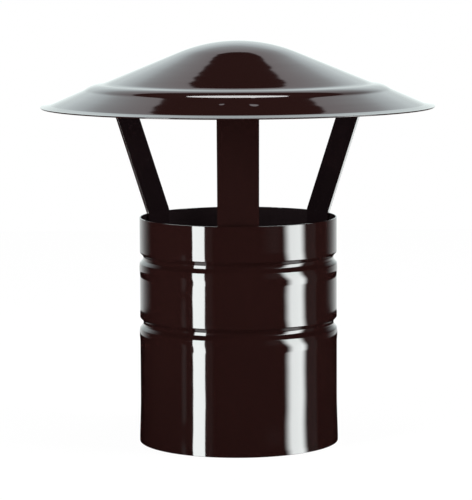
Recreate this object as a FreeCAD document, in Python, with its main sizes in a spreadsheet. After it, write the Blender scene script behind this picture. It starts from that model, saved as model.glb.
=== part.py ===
# Rain cap for a flue pipe: a spun sheet hat carried by three bent strap legs
# that stand inside a rolled collar. The origin is on the collar's axis at its
# bottom rim, Z points up and the front leg is on the -Y side.
import FreeCAD, Part
import math
import os
import Sketcher

App = FreeCAD

# Driving dimensions in millimetres, and slopes in degrees from the horizontal
driving_sizes = {
    # Sheet and collar
    "sheet_thickness": 0.8,
    "bore_diameter": 120.8,
    "collar_height": 140,
    # Lower end of the collar, opened out over the pipe below
    "flare_growth": 0.7,
    "flare_land": 3,
    "flare_height": 19,
    # Rolled beads: a groove with a low crest under it
    "bead_drop": 24.9,
    "bead_pitch": 40.6,
    "bead_width": 6.4,
    "bead_depth": 1.9,
    "trough_width": 1.8,
    "crest_rise": 0.3,
    "crest_length": 4.2,
    # Lapped seam of the rolled collar
    "seam_width": 3.6,
    "seam_rise": 0.35,
    "seam_azimuth": 68.5,
    # Hat, from its edge inwards; each ring has a width and a slope
    "outlet_height": 68,
    "brim_diameter": 243,
    "flange_width": 6.4,
    "flange_slope": 10.8,
    "brim_width": 19.6,
    "brim_slope": 23.4,
    "step_width": 5.6,
    "step_slope": 30,
    "shelf_width": 8.4,
    "shelf_slope": 8,
    "cone_slope": 22.1,
    "crown_radius": 89,
    # Strap legs
    "strap_width": 25,
    "strap_thickness": 1.5,
    "strap_break": 0.4,
    "strap_bend": 2.5,
    "foot_length": 20,
    "knee_rise": 0.73,
    "tab_reach": 19.05,
    "tab_margin": 8.25,
    "seat_gap": 0.02,
    # Spot welds that hold each leg's tab under the brim
    "weld_inset": 4,
    "weld_spacing": 18.8,
    "weld_diameter": 9,
    "weld_depth": 0.4,
}

leg_azimuths = {"leg_front": -90, "leg_rear_right": 30, "leg_rear_left": 150}

doc = App.newDocument("flue_rain_cap")
sizes = doc.addObject("Spreadsheet::Sheet", "Sizes")
for row, (alias, amount) in enumerate(driving_sizes.items(), start=1):
    sizes.set(f"A{row}", alias)
    sizes.set(f"B{row}", str(amount))
    sizes.setAlias(f"B{row}", alias)
doc.recompute()


def size(formula):
    return float(sizes.evalExpression(formula))


# Both faces of the collar's wall, as distances from the axis
bore = "(Sizes.bore_diameter / 2)"
wall = f"({bore} + Sizes.sheet_thickness)"

# Underside of the hat: distance from the axis and height of each corner
edge_r = "(Sizes.brim_diameter / 2)"
edge_z = "(Sizes.collar_height + Sizes.outlet_height)"
fold_r = f"({edge_r} - Sizes.flange_width)"
fold_z = f"({edge_z} + Sizes.flange_width * tan(Sizes.flange_slope))"
toe_r = f"({fold_r} - Sizes.brim_width)"
toe_z = f"({fold_z} + Sizes.brim_width * tan(Sizes.brim_slope))"
step_r = f"({toe_r} - Sizes.step_width)"
step_z = f"({toe_z} + Sizes.step_width * tan(Sizes.step_slope))"
shelf_r = f"({step_r} - Sizes.shelf_width)"
shelf_z = f"({step_z} + Sizes.shelf_width * tan(Sizes.shelf_slope))"
crown_r = "(Sizes.crown_radius * sin(Sizes.cone_slope))"
crown_z = f"({shelf_z} + ({shelf_r} - {crown_r}) * tan(Sizes.cone_slope))"


def radial_sketch(name):
    # Sketch X runs outwards from the axis and sketch Y runs up it
    sketch = doc.addObject("Sketcher::SketchObject", name)
    sketch.Placement = App.Placement(App.Vector(), App.Rotation(App.Vector(1, 0, 0), 90))
    return sketch


def turn_about_axis(item, azimuth):
    # Things are drawn on the +X side and turned to where they stand
    item.Placement = App.Placement(App.Vector(), App.Rotation(App.Vector(0, 0, 1), azimuth))


def dimension(sketch, constraint, formula):
    index = sketch.addConstraint(constraint)
    sketch.setExpression(f"Constraints[{index}]", formula)


def place_point(sketch, geometry, end, across, up):
    dimension(sketch, Sketcher.Constraint("DistanceX", -1, 1, geometry, end, size(across)), across)
    dimension(sketch, Sketcher.Constraint("DistanceY", -1, 1, geometry, end, size(up)), up)


def bend_arc(corner, before, after, radius):
    # Arc that rounds a corner, where the path enters and leaves it, and which of
    # the arc's ends those are
    turn = before.getAngle(after)
    setback = radius * math.tan(turn / 2)
    entry = corner - before * setback
    leave = corner + after * setback
    centre = corner + (after - before).normalize() * (radius / math.cos(turn / 2))
    to_entry = math.atan2(entry.y - centre.y, entry.x - centre.x)
    to_leave = math.atan2(leave.y - centre.y, leave.x - centre.x)
    circle = Part.Circle(centre, App.Vector(0, 0, 1), radius)
    if before.cross(after).z > 0:
        return Part.ArcOfCircle(circle, to_entry, to_leave), entry, leave, (1, 2)
    return Part.ArcOfCircle(circle, to_leave, to_entry), entry, leave, (2, 1)


def trace_path(sketch, corners):
    # A chain of straight lines through the corners. Each corner is its place and
    # its bend radius as formulas, with None for the radius where it is a crease.
    points = [App.Vector(size(across), size(up), 0) for across, up, bend in corners]
    courses = [(end - start).normalize() for start, end in zip(points, points[1:])]
    bends = []
    for corner, before, after, (across, up, bend) in zip(
        points[1:], courses, courses[1:], corners[1:]
    ):
        if bend is None:
            bends.append((None, corner, corner, None))
        else:
            bends.append(bend_arc(corner, before, after, size(bend)))
    starts = [points[0]] + [leave for arc, entry, leave, arc_ends in bends]
    ends = [entry for arc, entry, leave, arc_ends in bends] + [points[-1]]
    lines = [sketch.addGeometry(Part.LineSegment(a, b)) for a, b in zip(starts, ends)]
    place_point(sketch, lines[0], 1, corners[0][0], corners[0][1])
    place_point(sketch, lines[-1], 2, corners[-1][0], corners[-1][1])
    for number, (curve, entry, leave, arc_ends) in enumerate(bends):
        across, up, bend = corners[number + 1]
        before, after = lines[number], lines[number + 1]
        if bend is None:
            sketch.addConstraint(Sketcher.Constraint("Coincident", before, 2, after, 1))
            place_point(sketch, before, 2, across, up)
            continue
        arc = sketch.addGeometry(curve)
        sketch.addConstraint(Sketcher.Constraint("Tangent", before, 2, arc, arc_ends[0]))
        sketch.addConstraint(Sketcher.Constraint("Tangent", arc, arc_ends[1], after, 1))
        dimension(sketch, Sketcher.Constraint("Radius", arc, size(bend)), bend)
        corner = sketch.addGeometry(Part.Point(points[number + 1]), True)
        sketch.addConstraint(Sketcher.Constraint("PointOnObject", corner, 1, before))
        sketch.addConstraint(Sketcher.Constraint("PointOnObject", corner, 1, after))
        place_point(sketch, corner, 1, across, up)


def sheet_section(name, sketch, thickness):
    # Closed section of a sheet that lies on one side of the sketched line
    section = doc.addObject("Part::Offset2D", name)
    section.Source = sketch
    section.Mode = "Skin"
    section.Join = "Intersection"
    section.Fill = True
    section.setExpression("Value", thickness)
    return section


def revolve(name, section):
    turned = doc.addObject("Part::Revolution", name)
    turned.Source = section
    turned.Axis = App.Vector(0, 0, 1)
    turned.Angle = 360
    turned.Solid = True
    return turned


# Collar


def bead_corners(middle):
    # From the bottom up: foot of the crest, crest, both sides of the trough, shoulder
    crest = f"({middle} - Sizes.bead_width / 2)"
    trough = f"{wall} - Sizes.bead_depth"
    return [
        (wall, f"{crest} - Sizes.crest_length", None),
        (f"{wall} + Sizes.crest_rise", crest, None),
        (trough, f"{middle} - Sizes.trough_width / 2", None),
        (trough, f"{middle} + Sizes.trough_width / 2", None),
        (wall, f"{middle} + Sizes.bead_width / 2", None),
    ]


def collar_corners():
    flared = f"{wall} + Sizes.flare_growth"
    upper_bead = "(Sizes.collar_height - Sizes.bead_drop)"
    return [
        (flared, "0", None),
        (flared, "Sizes.flare_land", None),
        (wall, "Sizes.flare_height", None),
        *bead_corners(f"({upper_bead} - Sizes.bead_pitch)"),
        *bead_corners(upper_bead),
        (wall, "Sizes.collar_height", None),
    ]


def make_collar():
    line = radial_sketch("collar_line")
    trace_path(line, collar_corners())
    section = sheet_section("collar_section", line, "Sizes.sheet_thickness")
    # The seam's lap lies outside the bore and follows the beads from mid-sheet outwards
    lap_line = doc.addObject("Part::Offset2D", "lap_line")
    lap_line.Source = line
    lap_line.Mode = "Skin"
    lap_line.Join = "Intersection"
    lap_line.setExpression("Value", "Sizes.sheet_thickness / 2")
    lap_depth = "-(Sizes.sheet_thickness / 2 + Sizes.seam_rise)"
    lap_section = sheet_section("lap_section", lap_line, lap_depth)
    lap = revolve("collar_lap", lap_section)
    lap.setExpression("Angle", "Sizes.seam_width / Sizes.bore_diameter * 360 / pi")
    turn_about_axis(lap, size("Sizes.seam_azimuth"))
    collar = doc.addObject("Part::Fuse", "collar")
    collar.Base = revolve("collar_tube", section)
    collar.Tool = lap
    return collar


# Hat


def ball(name, radius, centre):
    # It lies on its side, so that neither of its poles is in the hat's sheet
    item = doc.addObject("Part::Sphere", name)
    item.Placement = App.Placement(App.Vector(), App.Rotation(App.Vector(1, 0, 0), 90))
    item.setExpression("Radius", radius)
    for axis, distance in zip("xyz", centre):
        item.setExpression(f"Placement.Base.{axis}", distance)
    return item


def make_rings():
    # The cone, the shelf, the step, the brim and its flange, in one sheet
    line = radial_sketch("hat_line")
    trace_path(line, [
        (crown_r, crown_z, None),
        (shelf_r, shelf_z, None),
        (step_r, step_z, None),
        (toe_r, toe_z, None),
        (fold_r, fold_z, None),
        (edge_r, edge_z, None),
    ])
    section = sheet_section("hat_section", line, "Sizes.sheet_thickness")
    return revolve("hat_rings", section)


def make_crown():
    # A hollow ball's cap that runs tangent into the cone. It is cut off square to
    # the sheet, by a second cone with its tip at the ball's centre.
    centre = ("0", "0", f"{crown_z} - Sizes.crown_radius * cos(Sizes.cone_slope)")
    shell = doc.addObject("Part::Cut", "crown_shell")
    shell.Base = ball("crown_outside", "Sizes.crown_radius + Sizes.sheet_thickness", centre)
    shell.Tool = ball("crown_inside", "Sizes.crown_radius", centre)
    sector = doc.addObject("Part::Cone", "crown_sector")
    sector.Radius1 = 0
    sector.setExpression("Radius2", "2 * Sizes.crown_radius * tan(Sizes.cone_slope)")
    sector.setExpression("Height", "2 * Sizes.crown_radius")
    sector.setExpression("Placement.Base.z", centre[2])
    crown = doc.addObject("Part::Common", "crown")
    crown.Base = shell
    crown.Tool = sector
    return crown


def make_weld_marks():
    # Shallow round dents, two over each leg, cut by balls in the brim's upper face
    dent = "((pow(Sizes.weld_diameter / 2; 2) + pow(Sizes.weld_depth; 2)) / (2 * Sizes.weld_depth))"
    along = f"({toe_r} + Sizes.weld_inset)"
    beside = "(Sizes.weld_spacing / 2)"
    reach = f"sqrt(pow({along}; 2) + pow({beside}; 2))"
    off_face = f"({dent} - Sizes.weld_depth + Sizes.sheet_thickness)"
    out = f"({reach} + {off_face} * sin(Sizes.brim_slope))"
    up = f"{toe_z} - ({reach} - {toe_r}) * tan(Sizes.brim_slope) + {off_face} * cos(Sizes.brim_slope)"
    marks = doc.addObject("Part::Compound", "weld_marks")
    for azimuth in leg_azimuths.values():
        for side in (-1, 1):
            mark_azimuth = f"({azimuth} deg + {side} * atan({beside} / {along}))"
            centre = (f"{out} * cos({mark_azimuth})", f"{out} * sin({mark_azimuth})", up)
            marks.Links += [ball("weld_mark", dent, centre)]
    return marks


def make_hat():
    sheet = doc.addObject("Part::Fuse", "hat_sheet")
    sheet.Base = make_rings()
    sheet.Tool = make_crown()
    hat = doc.addObject("Part::Cut", "hat")
    hat.Base = sheet
    hat.Tool = make_weld_marks()
    return hat


# Legs


def runs_along_side(edge):
    # Edges of the strap's two sides, but not the short ones across its thickness
    side, tolerance = size("Sizes.strap_width / 2"), 0.001
    on_side = all(abs(abs(vertex.Y) - side) < tolerance for vertex in edge.Vertexes)
    return on_side and edge.Length > size("Sizes.strap_thickness") + tolerance


def make_leg(name, azimuth):
    # The line is the strap's inner face, which turns into the tab's upper face.
    # The foot's two long edges bear on the bore, and the tab's on the brim.
    half = "(Sizes.strap_width / 2)"
    foot_r = f"(sqrt(pow({bore}; 2) - pow({half}; 2)) - Sizes.seat_gap - Sizes.strap_thickness)"
    outer_bend = "(Sizes.strap_bend + Sizes.strap_thickness)"
    # The brim curves down beside the tab's middle, so the flat tab lies lower
    sag = f"((sqrt(pow({toe_r}; 2) + pow({half}; 2)) - {toe_r}) * tan(Sizes.brim_slope))"
    tab_z = f"({toe_z} - {sag} - Sizes.seat_gap)"
    end_r = f"({fold_r} - Sizes.tab_margin)"
    end_z = f"({tab_z} + ({toe_r} - {end_r}) * tan(Sizes.brim_slope))"
    head_r = f"({end_r} - Sizes.tab_reach)"
    head_z = f"({tab_z} + ({toe_r} - {head_r}) * tan(Sizes.brim_slope))"
    line = radial_sketch(f"{name}_line")
    trace_path(line, [
        (foot_r, "Sizes.collar_height - Sizes.foot_length", None),
        (foot_r, "Sizes.collar_height + Sizes.knee_rise", outer_bend),
        (head_r, head_z, outer_bend),
        (end_r, end_z, None),
    ])
    section = sheet_section(f"{name}_section", line, "-Sizes.strap_thickness")
    strap = doc.addObject("Part::Extrusion", f"{name}_strap")
    strap.Base = section
    strap.DirMode = "Custom"
    strap.Dir = App.Vector(0, 1, 0)
    strap.Symmetric = True
    strap.Solid = True
    strap.setExpression("LengthFwd", "Sizes.strap_width")

    doc.recompute()
    strap_break = size("min(Sizes.strap_break; Sizes.strap_thickness * 0.4)")
    leg = doc.addObject("Part::Chamfer", name)
    leg.Base = strap
    leg.Edges = [
        (number, strap_break, strap_break)
        for number, edge in enumerate(strap.Shape.Edges, start=1)
        if runs_along_side(edge)
    ]
    turn_about_axis(leg, azimuth)
    return leg


# Build, check and write the sub-parts

parts = [make_collar(), make_hat()]
parts += [make_leg(name, azimuth) for name, azimuth in leg_azimuths.items()]
doc.recompute()

for item in doc.Objects:
    if "Invalid" in item.State or "Error" in item.State:
        raise RuntimeError(f"{item.Name} failed: {item.State}")
os.makedirs("parts", exist_ok=True)
for part in parts:
    if part.Shape.isNull() or not part.Shape.isValid():
        raise RuntimeError(f"{part.Label} has no valid shape")
    part.Shape.exportStep(f"parts/{part.Label}.step")
    print(part.Label, len(part.Shape.Solids), round(part.Shape.Volume, 1))
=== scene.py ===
import math

import bpy
from mathutils import Matrix, Vector


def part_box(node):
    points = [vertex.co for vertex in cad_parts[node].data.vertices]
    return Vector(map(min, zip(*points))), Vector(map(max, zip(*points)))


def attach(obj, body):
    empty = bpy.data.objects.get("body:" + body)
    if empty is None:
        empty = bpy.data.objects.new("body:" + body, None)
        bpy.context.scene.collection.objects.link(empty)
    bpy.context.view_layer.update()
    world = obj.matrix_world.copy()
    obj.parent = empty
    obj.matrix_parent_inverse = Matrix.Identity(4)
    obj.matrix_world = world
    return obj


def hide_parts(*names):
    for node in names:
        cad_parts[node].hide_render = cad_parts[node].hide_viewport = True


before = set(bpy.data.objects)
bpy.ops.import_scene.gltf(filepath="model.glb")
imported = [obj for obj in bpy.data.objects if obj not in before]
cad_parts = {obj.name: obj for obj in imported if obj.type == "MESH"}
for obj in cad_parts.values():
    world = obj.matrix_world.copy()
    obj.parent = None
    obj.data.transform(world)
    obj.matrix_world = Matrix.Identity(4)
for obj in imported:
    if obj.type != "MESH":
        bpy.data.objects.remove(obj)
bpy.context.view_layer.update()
print("frame loaded")

scene = bpy.context.scene
scene.view_settings.view_transform = "Standard"

finish = {
    "sharpFrom": math.radians(50),  # edges that turn further than this are rounded
    "smoothUpTo": math.radians(40),
    "roundingSteps": 3,
    "guardInset": 0.0003,
    "insideFaces": -0.6,  # cosine to the outward way, below which a face looks at the axis
    "upperFaces": 0.5,  # upward part of a normal, above which it belongs to an upper face
    "mergeWithin": 0.0001,
}


def startClean():
    if bpy.context.object and bpy.context.object.mode != "OBJECT":
        bpy.ops.object.mode_set(mode="OBJECT")
    bpy.ops.object.select_all(action="DESELECT")


def bentLine(corners, arcStep):
    # points of a line through (across, up, bend radius) corners, each bend as an arc
    points = [Vector(corners[0][:2])]
    for before, corner, after in zip(corners, corners[1:], corners[2:]):
        place, bend = Vector(corner[:2]), corner[2]
        incoming = (place - Vector(before[:2])).normalized()
        outgoing = (Vector(after[:2]) - place).normalized()
        turn = math.atan2(incoming.cross(outgoing), incoming.dot(outgoing))
        entry = place - incoming * bend * math.tan(abs(turn) / 2)
        spoke = incoming.orthogonal() * math.copysign(bend, turn)
        steps = max(2, round(abs(turn) / arcStep))
        for step in range(steps + 1):
            points.append(entry + spoke - Matrix.Rotation(turn * step / steps, 2) @ spoke)
    points.append(Vector(corners[-1][:2]))
    return points


def closeSpaced(points, longest):
    # the same line with no run longer than asked for
    spaced = [points[0]]
    for before, point in zip(points, points[1:]):
        cuts = max(1, math.ceil((point - before).length / longest))
        spaced += [before.lerp(point, cut / cuts) for cut in range(1, cuts + 1)]
    return spaced


def guardStart(line):
    # a ring close to the sheet's edge, so that the rounded rim's shading stays off the wall
    guard = line[0] + (line[1] - line[0]).normalized() * finish["guardInset"]
    return [line[0], guard, *line[1:]]


def sheetFromRings(name, line, segments):
    # a circle at the line's start, extruded ring by ring along the line
    startClean()
    bpy.ops.mesh.primitive_circle_add(
        vertices=segments, radius=line[0].x, location=(0, 0, line[0].y))
    piece = bpy.context.object
    piece.name = piece.data.name = name
    bpy.ops.object.mode_set(mode="EDIT")
    bpy.ops.mesh.select_all(action="SELECT")
    for before, point in zip(line, line[1:]):
        bpy.ops.mesh.extrude_edges_move(
            TRANSFORM_OT_translate={"value": (0, 0, point.y - before.y)})
        if point.x > 0:
            growth = point.x / before.x
            bpy.ops.transform.resize(value=(growth, growth, 1), center_override=(0, 0, 0))
        else:
            bpy.ops.mesh.merge(type="CENTER")
    bpy.ops.mesh.select_all(action="SELECT")
    bpy.ops.mesh.normals_make_consistent(inside=False)
    bpy.ops.object.mode_set(mode="OBJECT")
    bpy.ops.object.transform_apply(location=True, rotation=True, scale=True)
    return piece


def useModifier(piece, kind, **settings):
    modifier = piece.modifiers.new(kind.title(), kind)
    for setting, value in settings.items():
        setattr(modifier, setting, value)
    bpy.ops.object.modifier_apply(modifier=modifier.name)


def finishSheet(piece, thickness, side, rimRound):
    useModifier(piece, "SOLIDIFY", thickness=thickness, offset=side, use_even_offset=True)
    useModifier(piece, "BEVEL", width=rimRound, segments=finish["roundingSteps"],
                limit_method="ANGLE", angle_limit=finish["sharpFrom"], use_clamp_overlap=True)
    bpy.ops.object.shade_smooth_by_angle(angle=finish["smoothUpTo"])


def handOver(piece, node, material, insideMaterial=None):
    piece.data.materials.clear()
    piece.data.materials.append(material)
    if insideMaterial:
        piece.data.materials.append(insideMaterial)
        for face in piece.data.polygons:
            if face.normal.xy.dot(face.center.xy.normalized()) < finish["insideFaces"]:
                face.material_index = 1
    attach(piece, "root")
    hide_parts(node)


def newGroup(name, inputs, outputs):
    group = bpy.data.node_groups.new(name, "ShaderNodeTree")
    for label, kind, value in inputs:
        socket = group.interface.new_socket(name=label, in_out="INPUT", socket_type=kind)
        if value is not None:
            socket.default_value = value
    for label, kind in outputs:
        group.interface.new_socket(name=label, in_out="OUTPUT", socket_type=kind)
    return group, group.nodes.new("NodeGroupInput"), group.nodes.new("NodeGroupOutput")


def addNode(tree, kind, **settings):
    node = tree.nodes.new(kind)
    for setting, value in settings.items():
        setattr(node, setting, value)
    return node


def enamelTintGroup():
    # slow drift of the colour over the coat, with fine dark pinholes in it
    group, entry, result = newGroup(
        "Enamel tint",
        [("Position", "NodeSocketVector", None),
         ("Colour", "NodeSocketColor", (0.02, 0.007, 0.006, 1)),
         ("Thin Colour", "NodeSocketColor", (0.012, 0.004, 0.004, 1)),
         ("Drift Scale", "NodeSocketFloat", 25.0),
         ("Pinhole Scale", "NodeSocketFloat", 900.0)],
        [("Colour", "NodeSocketColor"), ("Roughness", "NodeSocketFloat")],
    )
    pinholeFrom, pinholeFull, pinholeDepth = 0.72, 0.80, 0.7
    glossiest, dullest = 0.03, 0.07
    drift = addNode(group, "ShaderNodeTexNoise", noise_dimensions="3D")
    drift.inputs["Detail"].default_value = 3
    pinholes = addNode(group, "ShaderNodeTexNoise", noise_dimensions="3D")
    pinholes.inputs["Detail"].default_value = 1
    thin = addNode(group, "ShaderNodeMix", data_type="RGBA")
    holes = addNode(group, "ShaderNodeMapRange")
    holes.inputs["From Min"].default_value = pinholeFrom
    holes.inputs["From Max"].default_value = pinholeFull
    holes.inputs["To Max"].default_value = pinholeDepth
    dotted = addNode(group, "ShaderNodeMix", data_type="RGBA")
    dotted.inputs["B"].default_value = (0.004, 0.002, 0.002, 1)
    gloss = addNode(group, "ShaderNodeMapRange")
    gloss.inputs["To Min"].default_value = glossiest
    gloss.inputs["To Max"].default_value = dullest
    link = group.links.new
    link(entry.outputs["Position"], drift.inputs["Vector"])
    link(entry.outputs["Position"], pinholes.inputs["Vector"])
    link(entry.outputs["Drift Scale"], drift.inputs["Scale"])
    link(entry.outputs["Pinhole Scale"], pinholes.inputs["Scale"])
    link(drift.outputs["Fac"], thin.inputs["Factor"])
    link(entry.outputs["Colour"], thin.inputs["A"])
    link(entry.outputs["Thin Colour"], thin.inputs["B"])
    link(pinholes.outputs["Fac"], holes.inputs["Value"])
    link(holes.outputs["Result"], dotted.inputs["Factor"])
    link(thin.outputs["Result"], dotted.inputs["A"])
    link(drift.outputs["Fac"], gloss.inputs["Value"])
    link(dotted.outputs["Result"], result.inputs["Colour"])
    link(gloss.outputs["Result"], result.inputs["Roughness"])
    return group


def orangePeelGroup():
    # height of the fired coat in metres: fine peel over longer ripples of the sheet
    group, entry, result = newGroup(
        "Orange peel",
        [("Position", "NodeSocketVector", None),
         ("Peel Scale", "NodeSocketFloat", 450.0),
         ("Peel Height", "NodeSocketFloat", 0.000002),
         ("Ripple Scale", "NodeSocketFloat", 40.0),
         ("Ripple Height", "NodeSocketFloat", 0.00003)],
        [("Height", "NodeSocketFloat")],
    )
    peel = addNode(group, "ShaderNodeTexNoise", noise_dimensions="3D")
    peel.inputs["Detail"].default_value = 1
    ripple = addNode(group, "ShaderNodeTexNoise", noise_dimensions="3D")
    ripple.inputs["Detail"].default_value = 0
    peelHeight = addNode(group, "ShaderNodeMath", operation="MULTIPLY")
    rippleHeight = addNode(group, "ShaderNodeMath", operation="MULTIPLY")
    total = addNode(group, "ShaderNodeMath", operation="ADD")
    link = group.links.new
    link(entry.outputs["Position"], peel.inputs["Vector"])
    link(entry.outputs["Position"], ripple.inputs["Vector"])
    link(entry.outputs["Peel Scale"], peel.inputs["Scale"])
    link(entry.outputs["Ripple Scale"], ripple.inputs["Scale"])
    link(peel.outputs["Fac"], peelHeight.inputs[0])
    link(entry.outputs["Peel Height"], peelHeight.inputs[1])
    link(ripple.outputs["Fac"], rippleHeight.inputs[0])
    link(entry.outputs["Ripple Height"], rippleHeight.inputs[1])
    link(peelHeight.outputs["Value"], total.inputs[0])
    link(rippleHeight.outputs["Value"], total.inputs[1])
    link(total.outputs["Value"], result.inputs["Height"])
    return group


def spunRingsGroup():
    # height of the faint rings that forming leaves round a spun or pressed sheet
    group, entry, result = newGroup(
        "Spun rings",
        [("Position", "NodeSocketVector", None),
         ("Ring Scale", "NodeSocketFloat", 110.0),
         ("Wander", "NodeSocketFloat", 1.5),
         ("Ring Height", "NodeSocketFloat", 0.0)],
        [("Height", "NodeSocketFloat")],
    )
    flat = addNode(group, "ShaderNodeVectorMath", operation="MULTIPLY")
    flat.inputs[1].default_value = (1, 1, 0)
    radius = addNode(group, "ShaderNodeVectorMath", operation="LENGTH")
    spoke = addNode(group, "ShaderNodeVectorMath", operation="NORMALIZE")
    wander = addNode(group, "ShaderNodeVectorMath", operation="SCALE")
    distance = addNode(group, "ShaderNodeMath", operation="MULTIPLY")
    upwards = addNode(group, "ShaderNodeCombineXYZ")
    place = addNode(group, "ShaderNodeVectorMath", operation="ADD")
    rings = addNode(group, "ShaderNodeTexNoise", noise_dimensions="3D")
    rings.inputs["Scale"].default_value = 1
    rings.inputs["Detail"].default_value = 1
    height = addNode(group, "ShaderNodeMath", operation="MULTIPLY")
    link = group.links.new
    link(entry.outputs["Position"], flat.inputs[0])
    link(flat.outputs["Vector"], radius.inputs[0])
    link(flat.outputs["Vector"], spoke.inputs[0])
    link(spoke.outputs["Vector"], wander.inputs[0])
    link(entry.outputs["Wander"], wander.inputs["Scale"])
    link(radius.outputs["Value"], distance.inputs[0])
    link(entry.outputs["Ring Scale"], distance.inputs[1])
    link(distance.outputs["Value"], upwards.inputs["Z"])
    link(wander.outputs["Vector"], place.inputs[0])
    link(upwards.outputs["Vector"], place.inputs[1])
    link(place.outputs["Vector"], rings.inputs["Vector"])
    link(rings.outputs["Fac"], height.inputs[0])
    link(entry.outputs["Ring Height"], height.inputs[1])
    link(height.outputs["Value"], result.inputs["Height"])
    return group


enamelTint = enamelTintGroup()
orangePeel = orangePeelGroup()
spunRings = spunRingsGroup()


def enamelMaterial(name, tint, peel, rings=None):
    material = bpy.data.materials.new(name)
    material.use_nodes = True
    tree = material.node_tree
    shader = tree.nodes["Principled BSDF"]
    shader.inputs["IOR"].default_value = 1.5
    place = addNode(tree, "ShaderNodeTexCoord")
    colour = addNode(tree, "ShaderNodeGroup", node_tree=enamelTint)
    surface = addNode(tree, "ShaderNodeGroup", node_tree=orangePeel)
    for label, value in tint.items():
        colour.inputs[label].default_value = value
    for label, value in peel.items():
        surface.inputs[label].default_value = value
    bump = addNode(tree, "ShaderNodeBump")
    bump.inputs["Distance"].default_value = 1
    tree.links.new(place.outputs["Object"], colour.inputs["Position"])
    tree.links.new(place.outputs["Object"], surface.inputs["Position"])
    tree.links.new(colour.outputs["Colour"], shader.inputs["Base Color"])
    tree.links.new(colour.outputs["Roughness"], shader.inputs["Roughness"])
    height = surface.outputs["Height"]
    if rings:
        spun = addNode(tree, "ShaderNodeGroup", node_tree=spunRings)
        for label, value in rings.items():
            spun.inputs[label].default_value = value
        both = addNode(tree, "ShaderNodeMath", operation="ADD")
        tree.links.new(place.outputs["Object"], spun.inputs["Position"])
        tree.links.new(height, both.inputs[0])
        tree.links.new(spun.outputs["Height"], both.inputs[1])
        height = both.outputs["Value"]
    tree.links.new(height, bump.inputs["Height"])
    tree.links.new(bump.outputs["Normal"], shader.inputs["Normal"])
    return material


enamel = {  # each coat's colour, and the same where it went on thin
    "body": (0.0095, 0.0033, 0.0029, 1),
    "thin": (0.0075, 0.0026, 0.0024, 1),
    # the hat's two colours are the collar's enamel made lighter: painted light for the extra
    # overhead light that the upturned hat catches
    "hatBodyPaintedLight": (0.0122, 0.0046, 0.0041, 1),
    "thinHatBodyPaintedLight": (0.0098, 0.0037, 0.0034, 1),
    "strapBody": (0.0108, 0.004, 0.0036, 1),
    "thinStrapBody": (0.0088, 0.0033, 0.003, 1),
    "ground": (0.0155, 0.0106, 0.0116, 1),
    "thinGround": (0.0132, 0.009, 0.0098, 1),
    "strapGround": (0.0095, 0.0058, 0.0066, 1),
    "thinStrapGround": (0.008, 0.0048, 0.0055, 1),
}
# the hat's enamel, its colour lifted by painted light from above
hatEnamelWithPaintedLight = enamelMaterial(
    "hatEnamelWithPaintedLight",
    {"Colour": enamel["hatBodyPaintedLight"], "Thin Colour": enamel["thinHatBodyPaintedLight"],
     "Drift Scale": 18, "Pinhole Scale": 900},
    {"Peel Scale": 450, "Peel Height": 0.0000012, "Ripple Scale": 30, "Ripple Height": 0.00002},
    {"Ring Scale": 110, "Wander": 1.5, "Ring Height": 0.00006},
)
collarEnamel = enamelMaterial(
    "collarEnamel",
    {"Colour": enamel["body"], "Thin Colour": enamel["thin"],
     "Drift Scale": 25, "Pinhole Scale": 900},
    {"Peel Scale": 450, "Peel Height": 0.0000015, "Ripple Scale": 90, "Ripple Height": 0.00003},
)
groundCoat = enamelMaterial(
    "groundCoat",  # the greyer first coat that the inner faces are left with
    {"Colour": enamel["ground"], "Thin Colour": enamel["thinGround"],
     "Drift Scale": 30, "Pinhole Scale": 700},
    {"Peel Scale": 500, "Peel Height": 0.000002, "Ripple Scale": 60, "Ripple Height": 0.00001},
)
strapEnamel = enamelMaterial(
    "strapEnamel",
    {"Colour": enamel["strapBody"], "Thin Colour": enamel["thinStrapBody"],
     "Drift Scale": 60, "Pinhole Scale": 900},
    {"Peel Scale": 500, "Peel Height": 0.000002, "Ripple Scale": 90, "Ripple Height": 0.00001},
)
strapGroundCoat = enamelMaterial(
    "strapGroundCoat",
    {"Colour": enamel["strapGround"], "Thin Colour": enamel["thinStrapGround"],
     "Drift Scale": 60, "Pinhole Scale": 700},
    {"Peel Scale": 500, "Peel Height": 0.000002, "Ripple Scale": 90, "Ripple Height": 0.00001},
)
print("enamel made")


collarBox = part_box("collar")
collar = {
    "outerRadius": 0.0612,  # of the wall, outside
    "height": collarBox[1].z,
    "sheet": 0.0008,
    "rimRound": 0.00015,
    "flareGrowth": 0.0007,
    "flareLand": 0.003,  # straight run at the foot
    "flareTop": 0.024,
    "flareBend": 0.060,
    "flareEase": 0.3,  # bend radius where the flare leaves the wall
    "lowerBead": 0.0745,
    "beadPitch": 0.0406,
    "beadHalfWidth": 0.0034,
    "beadDepth": 0.00204,
    "troughHalfWidth": 0.00115,  # of the groove's flat bottom
    "troughBend": 0.001,
    "shoulderBend": 0.0009,
    "flankRise": 0.00012,  # how far the groove's lower flank already stands proud of the wall
    "crestRise": 0.0004,
    "crestDrop": 0.0038,  # from the flank down to the crest, and from there down to its foot
    "footDrop": 0.0042,
    "crestBend": 0.016,
    "footBend": 0.012,
    "seamAzimuth": 68.5,  # degrees from +X
    "seamWidth": 0.0036,
    "seamRise": 0.00035,
    "seamGroove": 0.36,  # share of the beads' depth, from where only the lap's edge shows
    "arcStep": 7,  # degrees
    "spacing": 0.006,
    "segments": 450,
}


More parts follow.
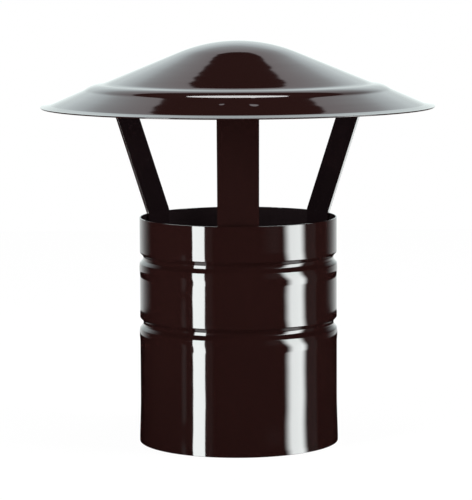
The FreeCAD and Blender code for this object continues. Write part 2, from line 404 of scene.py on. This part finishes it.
def collarLine():
    wall = collar["outerRadius"]
    flared = wall + collar["flareGrowth"]
    corners = [
        (flared, 0, 0),
        (flared, collar["flareLand"], collar["flareBend"]),
        (wall, collar["flareTop"], collar["flareEase"]),
    ]
    for bead in range(2):
        middle = collar["lowerBead"] + bead * collar["beadPitch"]
        flank = middle - collar["beadHalfWidth"]
        crest = flank - collar["crestDrop"]
        corners += [
            (wall, crest - collar["footDrop"], collar["footBend"]),
            (wall + collar["crestRise"], crest, collar["crestBend"]),
            (wall + collar["flankRise"], flank, collar["shoulderBend"]),
            (wall - collar["beadDepth"], middle - collar["troughHalfWidth"], collar["troughBend"]),
            (wall - collar["beadDepth"], middle + collar["troughHalfWidth"], collar["troughBend"]),
            (wall, middle + collar["beadHalfWidth"], collar["shoulderBend"]),
        ]
    corners.append((wall, collar["height"], 0))
    bent = bentLine(corners, math.radians(collar["arcStep"]))
    line = guardStart(closeSpaced(bent, collar["spacing"]))
    return guardStart(line[::-1])[::-1]


def raiseSeam(piece):
    # the lap of the sheet's ends: a narrow band of the wall pushed out, and in the grooves
    # only its edge, narrower and lower
    middle = math.radians(collar["seamAzimuth"])
    reach = collar["seamWidth"] / 2
    edgeReach, edgeRise = collar["seamWidth"] / 5, collar["seamRise"] / 3
    grooveDepth = collar["beadDepth"] * collar["seamGroove"]
    grooveWithin = collar["outerRadius"] - collar["sheet"] / 2 - grooveDepth
    for vertex in piece.data.vertices:
        radius = vertex.co.xy.length
        beside = (math.atan2(vertex.co.y, vertex.co.x) - middle) * radius
        outward = vertex.co.xy.normalized()
        onWall = radius > grooveWithin
        if onWall and abs(beside) < reach:
            vertex.co.xy += outward * collar["seamRise"]
        elif not onWall and abs(beside - reach) < edgeReach:
            vertex.co.xy += outward * edgeRise


collarPiece = sheetFromRings("rolledCollar", collarLine(), collar["segments"])
finishSheet(collarPiece, collar["sheet"], -1, collar["rimRound"])
raiseSeam(collarPiece)
handOver(collarPiece, "collar", collarEnamel, groundCoat)
print("collar made")


legs = {"leg_front": -90, "leg_rear_right": 30, "leg_rear_left": 150}  # degrees from +X

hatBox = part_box("hat")
hat = {
    "edgeRadius": 0.1215,
    "edgeHeight": hatBox[0].z,
    "sheet": 0.0008,
    "rimRound": 0.00032,
    "flange": (0.00632, 11.3),  # width and slope of each ring, from the edge inwards
    "brim": (0.0209, 23.25),
    "step": (0.0046, 34),
    "shelf": (0.00733, 6.83),
    "coneSlope": 22.1,  # degrees
    "crownRadius": 0.0951,
    "foldBend": 0.0052,
    "toeBend": 0.012,
    "stepBend": 0.018,
    "shelfBend": 0.0187,
    "weldInset": 0.0052,
    "weldSpacing": 0.0188,
    "weldRadii": (0.004, 0.0057),  # the electrodes left a small and a large mark on each leg
    "weldDepth": 0.075,  # of a mark's radius
    "arcStep": 2.4,  # degrees
    "crownSteps": 14,
    "segments": 500,
    "spacing": 0.003,
    "fineSpacing": 0.0012,  # where the weld marks are pressed in
}


def weldRing():
    # how far from the axis the weld marks sit
    return hat["edgeRadius"] - hat["flange"][0] - hat["brim"][0] + hat["weldInset"]


def hatLine():
    across, up = hat["edgeRadius"], hat["edgeHeight"]
    corners = [(across, up, 0)]
    for ring, bend in (("flange", "foldBend"), ("brim", "toeBend"),
                       ("step", "stepBend"), ("shelf", "shelfBend")):
        width, slope = hat[ring]
        across -= width
        up += width * math.tan(math.radians(slope))
        corners.append((across, up, hat[bend]))
    slope = math.radians(hat["coneSlope"])
    crownEdge = hat["crownRadius"] * math.sin(slope)
    up += (across - crownEdge) * math.tan(slope)
    corners.append((crownEdge, up, 0))
    line = bentLine(corners, math.radians(hat["arcStep"]))
    centre = Vector((0, up - hat["crownRadius"] * math.cos(slope)))
    for step in range(1, hat["crownSteps"] + 1):
        angle = slope * (1 - step / hat["crownSteps"])
        line.append(centre + Vector((math.sin(angle), math.cos(angle))) * hat["crownRadius"])
    line[-1].x = 0
    line = closeSpaced(line, hat["spacing"])
    spaced = line[:1]
    for before, point in zip(line, line[1:]):
        nearWelds = abs(point.x - weldRing()) < max(hat["weldRadii"]) + hat["spacing"]
        longest = hat["fineSpacing"] if nearWelds else hat["spacing"]
        spaced += closeSpaced([before, point], longest)[1:]
    return guardStart(spaced)


def sinkWeldMarks(piece):
    # shallow round dents over each leg, pressed into the brim's upper face only
    beside = hat["weldSpacing"] / 2
    marks = []
    for azimuth in legs.values():
        turn = Matrix.Rotation(math.radians(azimuth), 3, "Z")
        marks += [(turn @ Vector((weldRing(), side * beside, 0)), radius)
                  for side, radius in zip((-1, 1), hat["weldRadii"])]
    for vertex in piece.data.vertices:
        for mark, radius in marks:
            away = (vertex.co.xy - mark.xy).length / radius
            if away < 1 and vertex.normal.z > finish["upperFaces"]:
                vertex.co.z -= hat["weldDepth"] * radius * (1 - away ** 2) ** 2


hatPiece = sheetFromRings("pressedHat", hatLine(), hat["segments"])
finishSheet(hatPiece, hat["sheet"], 1, hat["rimRound"])
sinkWeldMarks(hatPiece)
handOver(hatPiece, "hat", hatEnamelWithPaintedLight)
print("hat made")


strap = {
    "width": 0.025,
    "thickness": 0.0015,
    "edgeRound": 0.00025,
    "bend": 0.004,
    "footLength": 0.020,
    "kneeRise": 0.00073,
    "footRadius": 0.05757,
    "tabReach": 0.01905,
    "tabSlope": 23.4,
    "tabEnd": (0.10685, 0.212422),  # distance from the axis, and height
    "arcStep": 6,  # degrees
    "spacing": 0.006,
}


def strapLine():
    # inner face of the strap: foot, lean and tab, as distance from the axis and height
    rise = strap["tabReach"] * math.tan(math.radians(strap["tabSlope"]))
    endRadius, endHeight = strap["tabEnd"]
    return bentLine([
        (strap["footRadius"], collar["height"] - strap["footLength"], 0),
        (strap["footRadius"], collar["height"] + strap["kneeRise"], strap["bend"]),
        (endRadius - strap["tabReach"], endHeight + rise, strap["bend"]),
        (endRadius, endHeight, 0),
    ], math.radians(strap["arcStep"]))


def makeStrap():
    # the bent strap, as it stands over +X
    line = closeSpaced(strapLine(), strap["spacing"])
    startClean()
    bpy.ops.mesh.primitive_plane_add(size=strap["width"], location=(line[0].x, 0, line[0].y))
    piece = bpy.context.object
    piece.name = piece.data.name = "bentStrap"
    bpy.ops.object.mode_set(mode="EDIT")
    bpy.ops.mesh.select_all(action="SELECT")
    bpy.ops.transform.resize(value=(0, 1, 1))  # the plane becomes one edge across the strap
    bpy.ops.mesh.remove_doubles(threshold=finish["mergeWithin"])
    for before, point in zip(line, line[1:]):
        bpy.ops.mesh.extrude_edges_move(
            TRANSFORM_OT_translate={"value": (point.x - before.x, 0, point.y - before.y)})
    bpy.ops.object.mode_set(mode="OBJECT")
    bpy.ops.object.transform_apply(location=True, rotation=True, scale=True)
    useModifier(piece, "SOLIDIFY", thickness=strap["thickness"], offset=-1)
    useModifier(piece, "BEVEL", width=strap["edgeRound"], segments=finish["roundingSteps"],
                limit_method="ANGLE", angle_limit=finish["sharpFrom"])
    return piece


def copyAsLeg(piece, name, azimuth):
    # a copy with its own mesh, turned about the cap's axis to where the leg stands
    startClean()
    piece.select_set(True)
    bpy.context.view_layer.objects.active = piece
    bpy.ops.object.duplicate()
    leg = bpy.context.object
    leg.name = leg.data.name = name
    leg.rotation_euler.z = math.radians(azimuth)
    bpy.ops.object.transform_apply(location=True, rotation=True, scale=True)
    bpy.ops.object.shade_smooth_by_angle(angle=finish["smoothUpTo"])
    useModifier(leg, "WEIGHTED_NORMAL", keep_sharp=True)
    return leg


bentStrap = makeStrap()
for node, azimuth in legs.items():
    leg = copyAsLeg(bentStrap, node.replace("leg", "strap"), azimuth)
    handOver(leg, node, strapEnamel, strapGroundCoat)
bpy.data.meshes.remove(bentStrap.data)
print("legs made")


studio = {
    "floorFront": -0.19,
    "floorBack": 1.2,
    "floorHalfWidth": 1.2,
    "floorGrey": (0.85, 0.85, 0.85, 1),
    "floorRoughness": 0.9,
    "floorOwnWhite": 0.97,  # the rest of what the camera sees of the floor takes the shadow
    "roomLevel": 0.2,
    "leanFrom": -0.131,  # sine of the elevation at which a leaning patch is where its sides say
    # colour of what is mirrored: the sine of its elevation, -1 to 1, stands as 0 to 1
    "tints": ((0.46, (0.95, 0.995, 0.99)), (0.54, (0.91, 1, 0.99)), (0.62, (0.89, 0.99, 1)),
              (0.72, (0.87, 0.97, 1)), (0.78, (0.92, 0.97, 1)), (0.83, (0.99, 0.97, 1))),
}

# What the enamel mirrors. Sides are degrees from straight behind the cap, positive to the
# right: where the patch starts, is full, is full still, and ends. Ends are the same upwards.
# A lean is how many degrees to the right the sides move over one unit of the height's sine.
mirroredPatches = {
    "backdrop": {"sides": (-55, -24, 12, 42), "ends": (-3, -2, 42.4, 43.2), "level": 0.92},
    "backdropGlow": {"sides": (-55, -24, 12, 42), "ends": (-3, -2, 22, 43), "level": 0.38},
    "backdropBand": {"sides": (-55, -24, 12, 42), "ends": (11, 18, 25, 32), "level": 0.22},
    "backdropFoot": {"sides": (-60, -24, 24, 60), "ends": (-8.12, -7.98, -3, -2), "level": 1},
    "leftStripe": {"sides": (-141.1, -139.9, -126.1, -124.9), "ends": (-22, -21, 12, 14),
                   "level": 21.3},
    "leftStripeSide": {"sides": (-152, -147, -142, -141), "ends": (-22, -21, 12, 14), "level": 0.1},
    "leftGlow": {"sides": (-118, -114, -113, -108), "ends": (-20, -19, -8.3, -7.6), "level": 0.25},
    "rightStripe": {"sides": (93, 104.7, 115.2, 127.7), "ends": (-22, -21, 12, 14),
                    "level": 17.6, "lean": 35},
    "rightStripeFar": {"sides": (76, 80, 92, 96), "ends": (-22, -21, 12, 14),
                       "level": 0.12, "lean": 35},
    "rightStripeNear": {"sides": (125, 136, 138, 156), "ends": (-7.6, -6.6, 12, 14), "level": 0.12},
}


def fromTo(tree, start, end, low, high):
    # a soft ramp from one value to another, flat outside it
    ramp = addNode(tree, "ShaderNodeMapRange", interpolation_type="SMOOTHSTEP")
    ramp.inputs["From Min"].default_value = start
    ramp.inputs["From Max"].default_value = end
    ramp.inputs["To Min"].default_value = low
    ramp.inputs["To Max"].default_value = high
    return ramp


def reckon(tree, operation, *values):
    # a math node fed by numbers and by other nodes' outputs
    node = addNode(tree, "ShaderNodeMath", operation=operation)
    for socket, value in zip(node.inputs, values):
        if isinstance(value, (int, float)):
            socket.default_value = value
        else:
            tree.links.new(value, socket)
    return node.outputs["Value"]


def makeFloor():
    startClean()
    depth = studio["floorBack"] - studio["floorFront"]
    middle = (studio["floorBack"] + studio["floorFront"]) / 2
    bpy.ops.mesh.primitive_plane_add(size=1, location=(0, middle, 0))
    floor = bpy.context.object
    floor.name = floor.data.name = "floor"
    floor.scale = (2 * studio["floorHalfWidth"], depth, 1)
    bpy.ops.object.transform_apply(location=True, rotation=True, scale=True)
    floor.visible_glossy = False
    material = bpy.data.materials.new("paleFloor")
    material.use_nodes = True
    tree = material.node_tree
    paint = tree.nodes["Principled BSDF"]
    paint.inputs["Base Color"].default_value = studio["floorGrey"]
    paint.inputs["Roughness"].default_value = studio["floorRoughness"]
    white = addNode(tree, "ShaderNodeEmission")
    path = addNode(tree, "ShaderNodeLightPath")
    direct = reckon(tree, "MULTIPLY", path.outputs["Is Camera Ray"], studio["floorOwnWhite"])
    mirrored = reckon(
        tree, "MAXIMUM", path.outputs["Is Glossy Ray"], path.outputs["Is Transmission Ray"])
    mix = addNode(tree, "ShaderNodeMixShader")
    tree.links.new(reckon(tree, "MAXIMUM", direct, mirrored), mix.inputs["Fac"])
    tree.links.new(paint.outputs["BSDF"], mix.inputs[1])
    tree.links.new(white.outputs["Emission"], mix.inputs[2])
    tree.links.new(mix.outputs["Shader"], tree.nodes["Material Output"].inputs["Surface"])
    floor.data.materials.append(material)


def sineOf(degrees):
    return math.sin(math.radians(degrees))


def patchLevel(tree, azimuth, height, patch):
    # brightness of one mirrored patch, soft at its sides and ends
    if "lean" in patch:
        lean = math.radians(patch["lean"])
        shift = reckon(tree, "MULTIPLY_ADD", height, -lean, lean * studio["leanFrom"])
        azimuth = reckon(tree, "ADD", azimuth, shift)
    level = patch["level"]
    for way, places, turn in ((azimuth, patch["sides"], math.radians),
                              (height, patch["ends"], sineOf)):
        start, full, stillFull, end = (turn(place) for place in places)
        for ramp in (fromTo(tree, start, full, 0, 1), fromTo(tree, end, stillFull, 0, 1)):
            tree.links.new(way, ramp.inputs["Value"])
            level = reckon(tree, "MULTIPLY", level, ramp.outputs["Result"])
    return level


def makeWorld():
    # white to the camera, while reflections show the mirrored patches in a dark room
    world = bpy.data.worlds.new("studio")
    world.use_nodes = True
    scene.world = world
    tree = world.node_tree
    link = tree.links.new
    room = tree.nodes["Background"]
    seen = addNode(tree, "ShaderNodeBackground")
    mirrored = addNode(tree, "ShaderNodeBackground")
    for background in (room, seen, mirrored):
        background.inputs["Color"].default_value = (1, 1, 1, 1)
    room.inputs["Strength"].default_value = studio["roomLevel"]
    path = addNode(tree, "ShaderNodeLightPath")
    place = addNode(tree, "ShaderNodeTexCoord")
    axes = addNode(tree, "ShaderNodeSeparateXYZ")
    link(place.outputs["Generated"], axes.inputs["Vector"])
    azimuth = reckon(tree, "ARCTAN2", axes.outputs["X"], axes.outputs["Y"])
    total = 0
    for patch in mirroredPatches.values():
        total = reckon(tree, "ADD", total, patchLevel(tree, azimuth, axes.outputs["Z"], patch))
    link(total, mirrored.inputs["Strength"])
    tint = addNode(tree, "ShaderNodeValToRGB")
    steps = tint.color_ramp.elements
    while len(steps) < len(studio["tints"]):
        steps.new(1)
    for step, (where, colour) in zip(steps, studio["tints"]):
        step.position, step.color = where, (*colour, 1)
    link(reckon(tree, "MULTIPLY_ADD", axes.outputs["Z"], 0.5, 0.5), tint.inputs["Fac"])
    link(tint.outputs["Color"], mirrored.inputs["Color"])
    reflection = addNode(tree, "ShaderNodeMixShader")
    everything = addNode(tree, "ShaderNodeMixShader")
    byGloss = reckon(
        tree, "MAXIMUM", path.outputs["Is Glossy Ray"], path.outputs["Is Transmission Ray"])
    link(byGloss, reflection.inputs["Fac"])
    link(room.outputs["Background"], reflection.inputs[1])
    link(mirrored.outputs["Background"], reflection.inputs[2])
    link(path.outputs["Is Camera Ray"], everything.inputs["Fac"])
    link(reflection.outputs["Shader"], everything.inputs[1])
    link(seen.outputs["Background"], everything.inputs[2])
    link(everything.outputs["Shader"], tree.nodes["World Output"].inputs["Surface"])


# Azimuth is measured from the camera's side, positive to the right. The two side lamps light
# the coat, and the mirrored stripes stand for them in its gloss.
lamps = {
    "leftLamp": {"azimuth": -47, "elevation": 0, "distance": 1.5, "size": (0.41, 2.4),
                 "radiance": 21, "aim": (0, 0, 0.6), "mirrored": False},
    "rightLamp": {"azimuth": 72, "elevation": 0, "distance": 1.5, "size": (0.6, 2.4),
                  "radiance": 17, "aim": (0, 0, 0.6), "mirrored": False},
    "overheadLamp": {"azimuth": 180, "elevation": 78, "distance": 1.6, "size": (0.77, 0.62),
                     "radiance": 9.2, "aim": (0, 0, 0.2), "mirrored": True},
}


def addSoftbox(name, azimuth, elevation, distance, size, radiance, aim, mirrored):
    turn, lift = math.radians(azimuth), math.radians(elevation)
    way = Vector(
        (math.sin(turn) * math.cos(lift), -math.cos(turn) * math.cos(lift), math.sin(lift)))
    bpy.ops.object.light_add(type="AREA", location=Vector(aim) + way * distance)
    lamp = bpy.context.object
    lamp.name = lamp.data.name = name
    lamp.rotation_euler = way.to_track_quat("Z", "Y").to_euler()
    lamp.data.shape = "RECTANGLE"
    lamp.data.size, lamp.data.size_y = size
    lamp.data.energy = radiance * size[0] * size[1] * math.pi
    lamp.visible_camera = False
    lamp.visible_glossy = mirrored


makeFloor()
makeWorld()
for name, settings in lamps.items():
    addSoftbox(name, **settings)

view = {
    "place": (-0.0014, -1.6069, 0.3075),
    "lookDown": 6.69,  # degrees, as the roll is
    "roll": -0.25,
    "lens": 187.5,  # millimetres, as the sensor is
    "sensorWidth": 36,
}
bpy.ops.object.camera_add()
camera = bpy.context.object
camera.name = "photoCamera"
camera.data.lens = view["lens"]
camera.data.sensor_width = view["sensorWidth"]
camera.matrix_world = (
    Matrix.Translation(view["place"])
    @ Matrix.Rotation(math.radians(90 - view["lookDown"]), 4, "X")
    @ Matrix.Rotation(math.radians(view["roll"]), 4, "Z")
)
scene.camera = camera
print("studio set")
